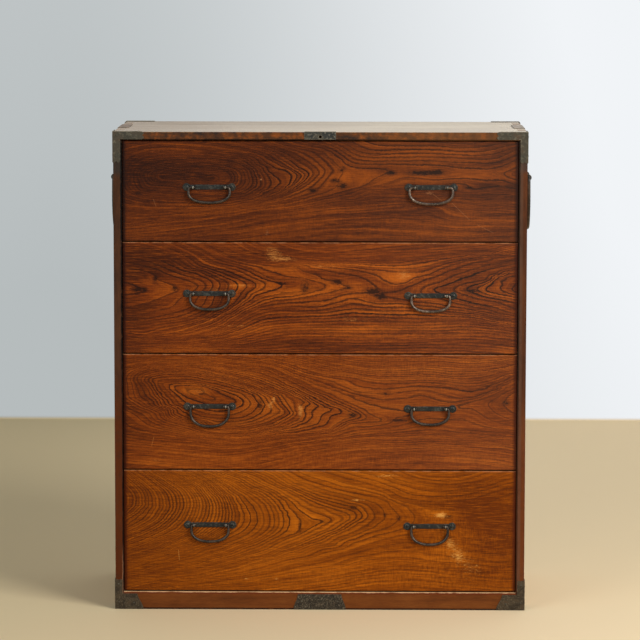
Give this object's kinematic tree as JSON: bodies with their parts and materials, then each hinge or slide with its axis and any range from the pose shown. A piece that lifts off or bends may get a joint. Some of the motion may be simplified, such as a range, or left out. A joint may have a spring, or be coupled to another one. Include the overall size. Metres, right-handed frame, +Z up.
{
  "type": "tansu chest of drawers",
  "caption": "Boarded wooden chest with full-width sliding drawers, forged swinging bail handles, iron corner sheets and a carrying bail on each side.",
  "frame": {"origin": "on the floor, in the middle of the footprint, handles included", "axes": "+Z up, the drawers open towards -Y, +X is on the right of someone who faces the drawers"},
  "size_m": [0.9418, 0.447, 1.061],
  "materials": {
    "drawer_front_wood": "strongly figured hardwood under worn red-brown lacquer",
    "frame_wood": "dark red-brown lacquered hardwood, worn pale on its edges",
    "carcass_wood": "weathered pale softwood, dry and matt",
    "drawer_box_wood": "bare pale softwood",
    "iron": "blackened wrought iron, rubbed brown where it is held"
  },
  "bodies": {
    "carcass": {"top_board": "carcass_wood", "side_board_left": "carcass_wood", "side_board_right": "carcass_wood", "back_panel": "carcass_wood", "bottom_board": "carcass_wood", "shelf_1": "carcass_wood", "shelf_2": "carcass_wood", "shelf_3": "carcass_wood", "top_rail": "frame_wood", "bottom_rail": "frame_wood", "stile_left": "frame_wood", "stile_right": "frame_wood", "corner_iron_top_left": "iron", "corner_iron_top_right": "iron", "corner_iron_bottom_left": "iron", "corner_iron_bottom_right": "iron", "rear_corner_iron_left": "iron", "rear_corner_iron_right": "iron", "lock_plate": "iron", "foot_plate": "iron", "side_handle_plate_left": "iron", "side_handle_plate_right": "iron"},
    "side_bail_left": {"side_bail_left": "iron"},
    "side_bail_right": {"side_bail_right": "iron"},
    "drawer_1": {"drawer_1_front": "drawer_front_wood", "drawer_1_side_left": "drawer_box_wood", "drawer_1_side_right": "drawer_box_wood", "drawer_1_back": "drawer_box_wood", "drawer_1_bottom": "drawer_box_wood", "drawer_1_handle_plate_left": "iron", "drawer_1_handle_plate_right": "iron"},
    "drawer_1_bail_left": {"drawer_1_bail_left": "iron"},
    "drawer_1_bail_right": {"drawer_1_bail_right": "iron"},
    "drawer_2": {"drawer_2_front": "drawer_front_wood", "drawer_2_side_left": "drawer_box_wood", "drawer_2_side_right": "drawer_box_wood", "drawer_2_back": "drawer_box_wood", "drawer_2_bottom": "drawer_box_wood", "drawer_2_handle_plate_left": "iron", "drawer_2_handle_plate_right": "iron"},
    "drawer_2_bail_left": {"drawer_2_bail_left": "iron"},
    "drawer_2_bail_right": {"drawer_2_bail_right": "iron"},
    "drawer_3": {"drawer_3_front": "drawer_front_wood", "drawer_3_side_left": "drawer_box_wood", "drawer_3_side_right": "drawer_box_wood", "drawer_3_back": "drawer_box_wood", "drawer_3_bottom": "drawer_box_wood", "drawer_3_handle_plate_left": "iron", "drawer_3_handle_plate_right": "iron"},
    "drawer_3_bail_left": {"drawer_3_bail_left": "iron"},
    "drawer_3_bail_right": {"drawer_3_bail_right": "iron"},
    "drawer_4": {"drawer_4_front": "drawer_front_wood", "drawer_4_side_left": "drawer_box_wood", "drawer_4_side_right": "drawer_box_wood", "drawer_4_back": "drawer_box_wood", "drawer_4_bottom": "drawer_box_wood", "drawer_4_handle_plate_left": "iron", "drawer_4_handle_plate_right": "iron"},
    "drawer_4_bail_left": {"drawer_4_bail_left": "iron"},
    "drawer_4_bail_right": {"drawer_4_bail_right": "iron"}
  },
  "joints": [
    {"name": "drawer_1_slide", "type": "slide", "parent": "carcass", "child": "drawer_1", "axis": [0, -1, 0], "range_m": [0, 0.32]},
    {"name": "drawer_2_slide", "type": "slide", "parent": "carcass", "child": "drawer_2", "axis": [0, -1, 0], "range_m": [0, 0.32]},
    {"name": "drawer_3_slide", "type": "slide", "parent": "carcass", "child": "drawer_3", "axis": [0, -1, 0], "range_m": [0, 0.32]},
    {"name": "drawer_4_slide", "type": "slide", "parent": "carcass", "child": "drawer_4", "axis": [0, -1, 0], "range_m": [0, 0.32]},
    {"name": "drawer_1_bail_left_swing", "type": "hinge", "parent": "drawer_1", "child": "drawer_1_bail_left", "pos_m": [-0.243, -0.2185, 0.939], "axis": [-1, 0, 0], "range_deg": [-3, 180]},
    {"name": "drawer_1_bail_right_swing", "type": "hinge", "parent": "drawer_1", "child": "drawer_1_bail_right", "pos_m": [0.243, -0.2185, 0.939], "axis": [-1, 0, 0], "range_deg": [-3, 180]},
    {"name": "drawer_2_bail_left_swing", "type": "hinge", "parent": "drawer_2", "child": "drawer_2_bail_left", "pos_m": [-0.243, -0.2185, 0.70459], "axis": [-1, 0, 0], "range_deg": [-3, 180]},
    {"name": "drawer_2_bail_right_swing", "type": "hinge", "parent": "drawer_2", "child": "drawer_2_bail_right", "pos_m": [0.243, -0.2185, 0.7009], "axis": [-1, 0, 0], "range_deg": [-3, 180]},
    {"name": "drawer_3_bail_left_swing", "type": "hinge", "parent": "drawer_3", "child": "drawer_3_bail_left", "pos_m": [-0.243, -0.2185, 0.45435], "axis": [-1, 0, 0], "range_deg": [-3, 180]},
    {"name": "drawer_3_bail_right_swing", "type": "hinge", "parent": "drawer_3", "child": "drawer_3_bail_right", "pos_m": [0.243, -0.2185, 0.45024], "axis": [-1, 0, 0], "range_deg": [-3, 180]},
    {"name": "drawer_4_bail_left_swing", "type": "hinge", "parent": "drawer_4", "child": "drawer_4_bail_left", "pos_m": [-0.243, -0.2185, 0.18955], "axis": [-1, 0, 0], "range_deg": [-3, 180]},
    {"name": "drawer_4_bail_right_swing", "type": "hinge", "parent": "drawer_4", "child": "drawer_4_bail_right", "pos_m": [0.243, -0.2185, 0.18765], "axis": [-1, 0, 0], "range_deg": [-3, 180]},
    {"name": "side_bail_left_swing", "type": "hinge", "parent": "carcass", "child": "side_bail_left", "pos_m": [-0.4635, 0.003, 0.9495], "axis": [0, 1, 0], "range_deg": [-2, 180]},
    {"name": "side_bail_right_swing", "type": "hinge", "parent": "carcass", "child": "side_bail_right", "pos_m": [0.4635, 0.003, 0.9495], "axis": [0, -1, 0], "range_deg": [-2, 180]}
  ]
}
